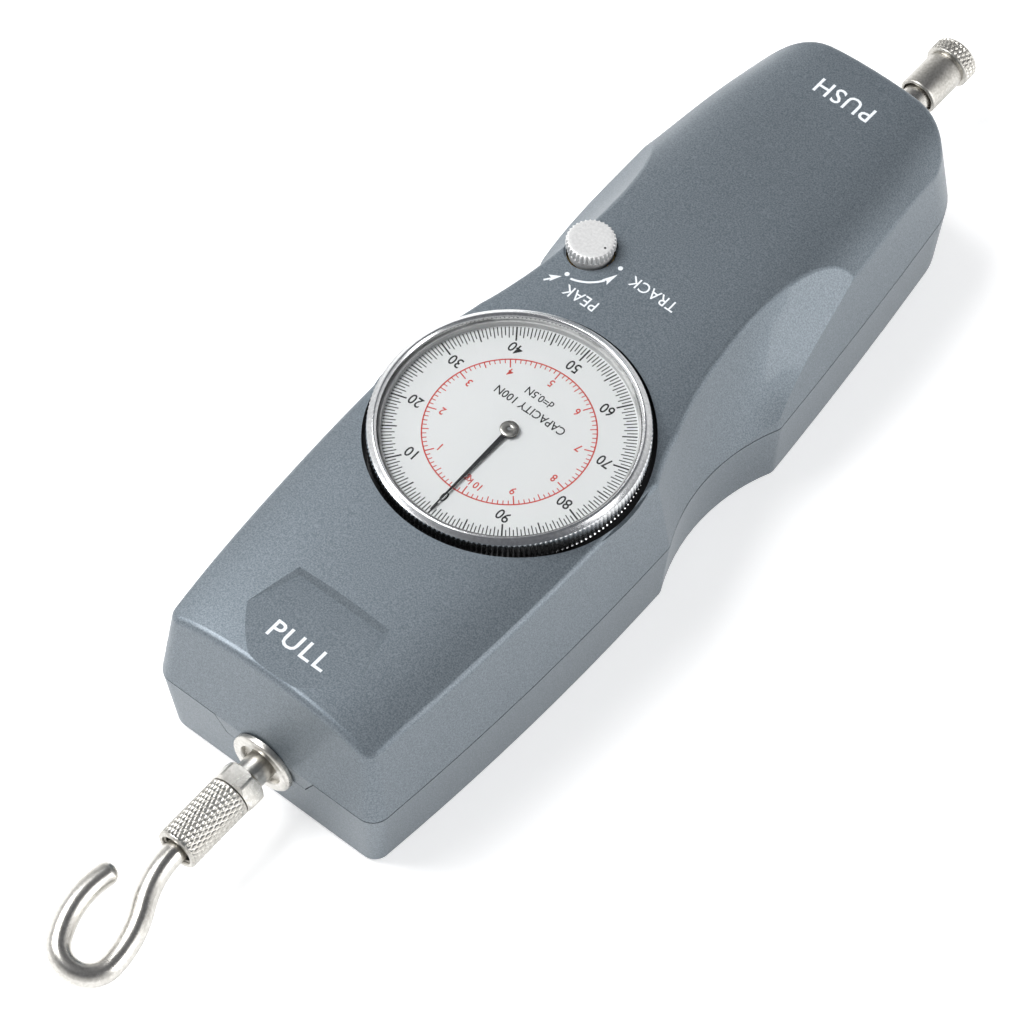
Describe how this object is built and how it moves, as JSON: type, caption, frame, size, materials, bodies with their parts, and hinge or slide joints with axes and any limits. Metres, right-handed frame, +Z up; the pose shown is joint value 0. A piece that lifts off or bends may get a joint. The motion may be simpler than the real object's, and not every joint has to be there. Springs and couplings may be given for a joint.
{
  "type": "force gauge",
  "caption": "Mechanical push/pull force gauge with a turning dial, peak-hold knob, pull hook and flat push tip.",
  "frame": {"origin": "on the flat back plane, straight under the dial axis", "axes": "+Z out of the dial face, +Y along the measuring shaft towards the push tip, +X to the right with +Z up and +Y away"},
  "size_m": [0.0602, 0.2685, 0.0433],
  "materials": {
    "shell_grey": "satin metallic",
    "steel": "machined",
    "nickel": "satin nickel",
    "brass": "machined",
    "bezel_metal": "turned, clear anodised",
    "knob_plastic": "turned, serrated rim",
    "dial_white": "matte print",
    "black_trim": "matte black",
    "clear": "clear",
    "rubber": "matte"
  },
  "bodies": {
    "housing": {"top_cover": "shell_grey", "bottom_cover": "shell_grey", "mounting_inserts": "brass", "cover_screws": "steel", "chassis": "steel", "chassis_screws": "steel", "pull_bush": "nickel", "push_bush": "nickel", "bush_nuts": "steel", "stop_buffer": "rubber", "lower_plate": "steel", "upper_plate": "steel", "arbor_bushes": "brass", "chassis_pillars": "steel", "movement_pillars": "steel", "movement_screws": "steel", "hairspring_stud": "steel", "hairspring": "brass", "lever_screw": "steel", "knob_bush": "brass", "main_spring": "steel"},
    "shaft": {"measuring_shaft": "steel", "spring_collar": "steel", "collar_screw": "steel", "rack_carrier": "steel", "clamp_screw": "steel", "rack": "brass", "rack_screws": "steel", "stop_collar": "steel", "push_adapter": "nickel"},
    "hook": {"hook": "nickel", "hook_sleeve": "nickel", "lock_nut": "nickel"},
    "idler": {"idler_arbor": "steel", "idler_pinion": "brass", "idler_wheel": "brass"},
    "centre": {"pointer_arbor": "steel", "pointer_pinion": "brass", "brake_wheel": "brass", "hairspring_collet": "brass", "pointer_hub": "steel", "pointer": "black_trim"},
    "dial": {"bezel": "bezel_metal", "bezel_clip": "steel", "dial_plate": "dial_white", "lens_spacer": "black_trim", "lens": "clear"},
    "cam": {"peak_cam": "brass", "knob_spring": "steel"},
    "knob": {"knob": "knob_plastic", "knob_clip": "steel"},
    "lever": {"peak_lever": "steel"}
  },
  "joints": [
    {"name": "shaft_slide", "type": "slide", "parent": "housing", "child": "shaft", "axis": [0, -1, 0], "range_m": [0, 0.01], "stiffness_N_per_m": 10000, "deforming": ["main_spring"]},
    {"name": "hook_swivel", "type": "hinge", "parent": "shaft", "child": "hook", "pos_m": [0, -0.08, 0.0135], "axis": [0, 1, 0], "range_deg": [-180, 180]},
    {"name": "idler_turn", "type": "hinge", "parent": "housing", "child": "idler", "pos_m": [0.0095, 0.01287, 0.027], "axis": [0, 0, 1], "range_deg": [0, 164]},
    {"name": "pointer_turn", "type": "hinge", "parent": "housing", "child": "centre", "pos_m": [0, 0, 0.03], "axis": [0, 0, 1], "range_deg": [-361, 0], "deforming": ["hairspring"]},
    {"name": "bezel_turn", "type": "hinge", "parent": "housing", "child": "dial", "pos_m": [0, 0, 0.04], "axis": [0, 0, 1], "continuous": true},
    {"name": "knob_turn", "type": "hinge", "parent": "housing", "child": "cam", "pos_m": [-0.0146, 0.0419, 0.0355], "axis": [0, 0, -1], "range_deg": [0, 90]},
    {"name": "knob_press", "type": "slide", "parent": "cam", "child": "knob", "axis": [0, 0, -1], "range_m": [0, 0.002], "stiffness_N_per_m": 100, "deforming": ["knob_spring"]},
    {"name": "lever_swing", "type": "hinge", "parent": "housing", "child": "lever", "pos_m": [-0.011, 0.012, 0.0328], "axis": [0, 0, 1], "range_deg": [0, 11]}
  ],
  "couplings": [
    {"joint": "idler_turn", "follows": "shaft_slide", "rad_per_m": 285.71},
    {"joint": "pointer_turn", "follows": "shaft_slide", "rad_per_m": -628.57},
    {"joint": "lever_swing", "follows": "knob_turn", "ratio": 0.1198}
  ]
}
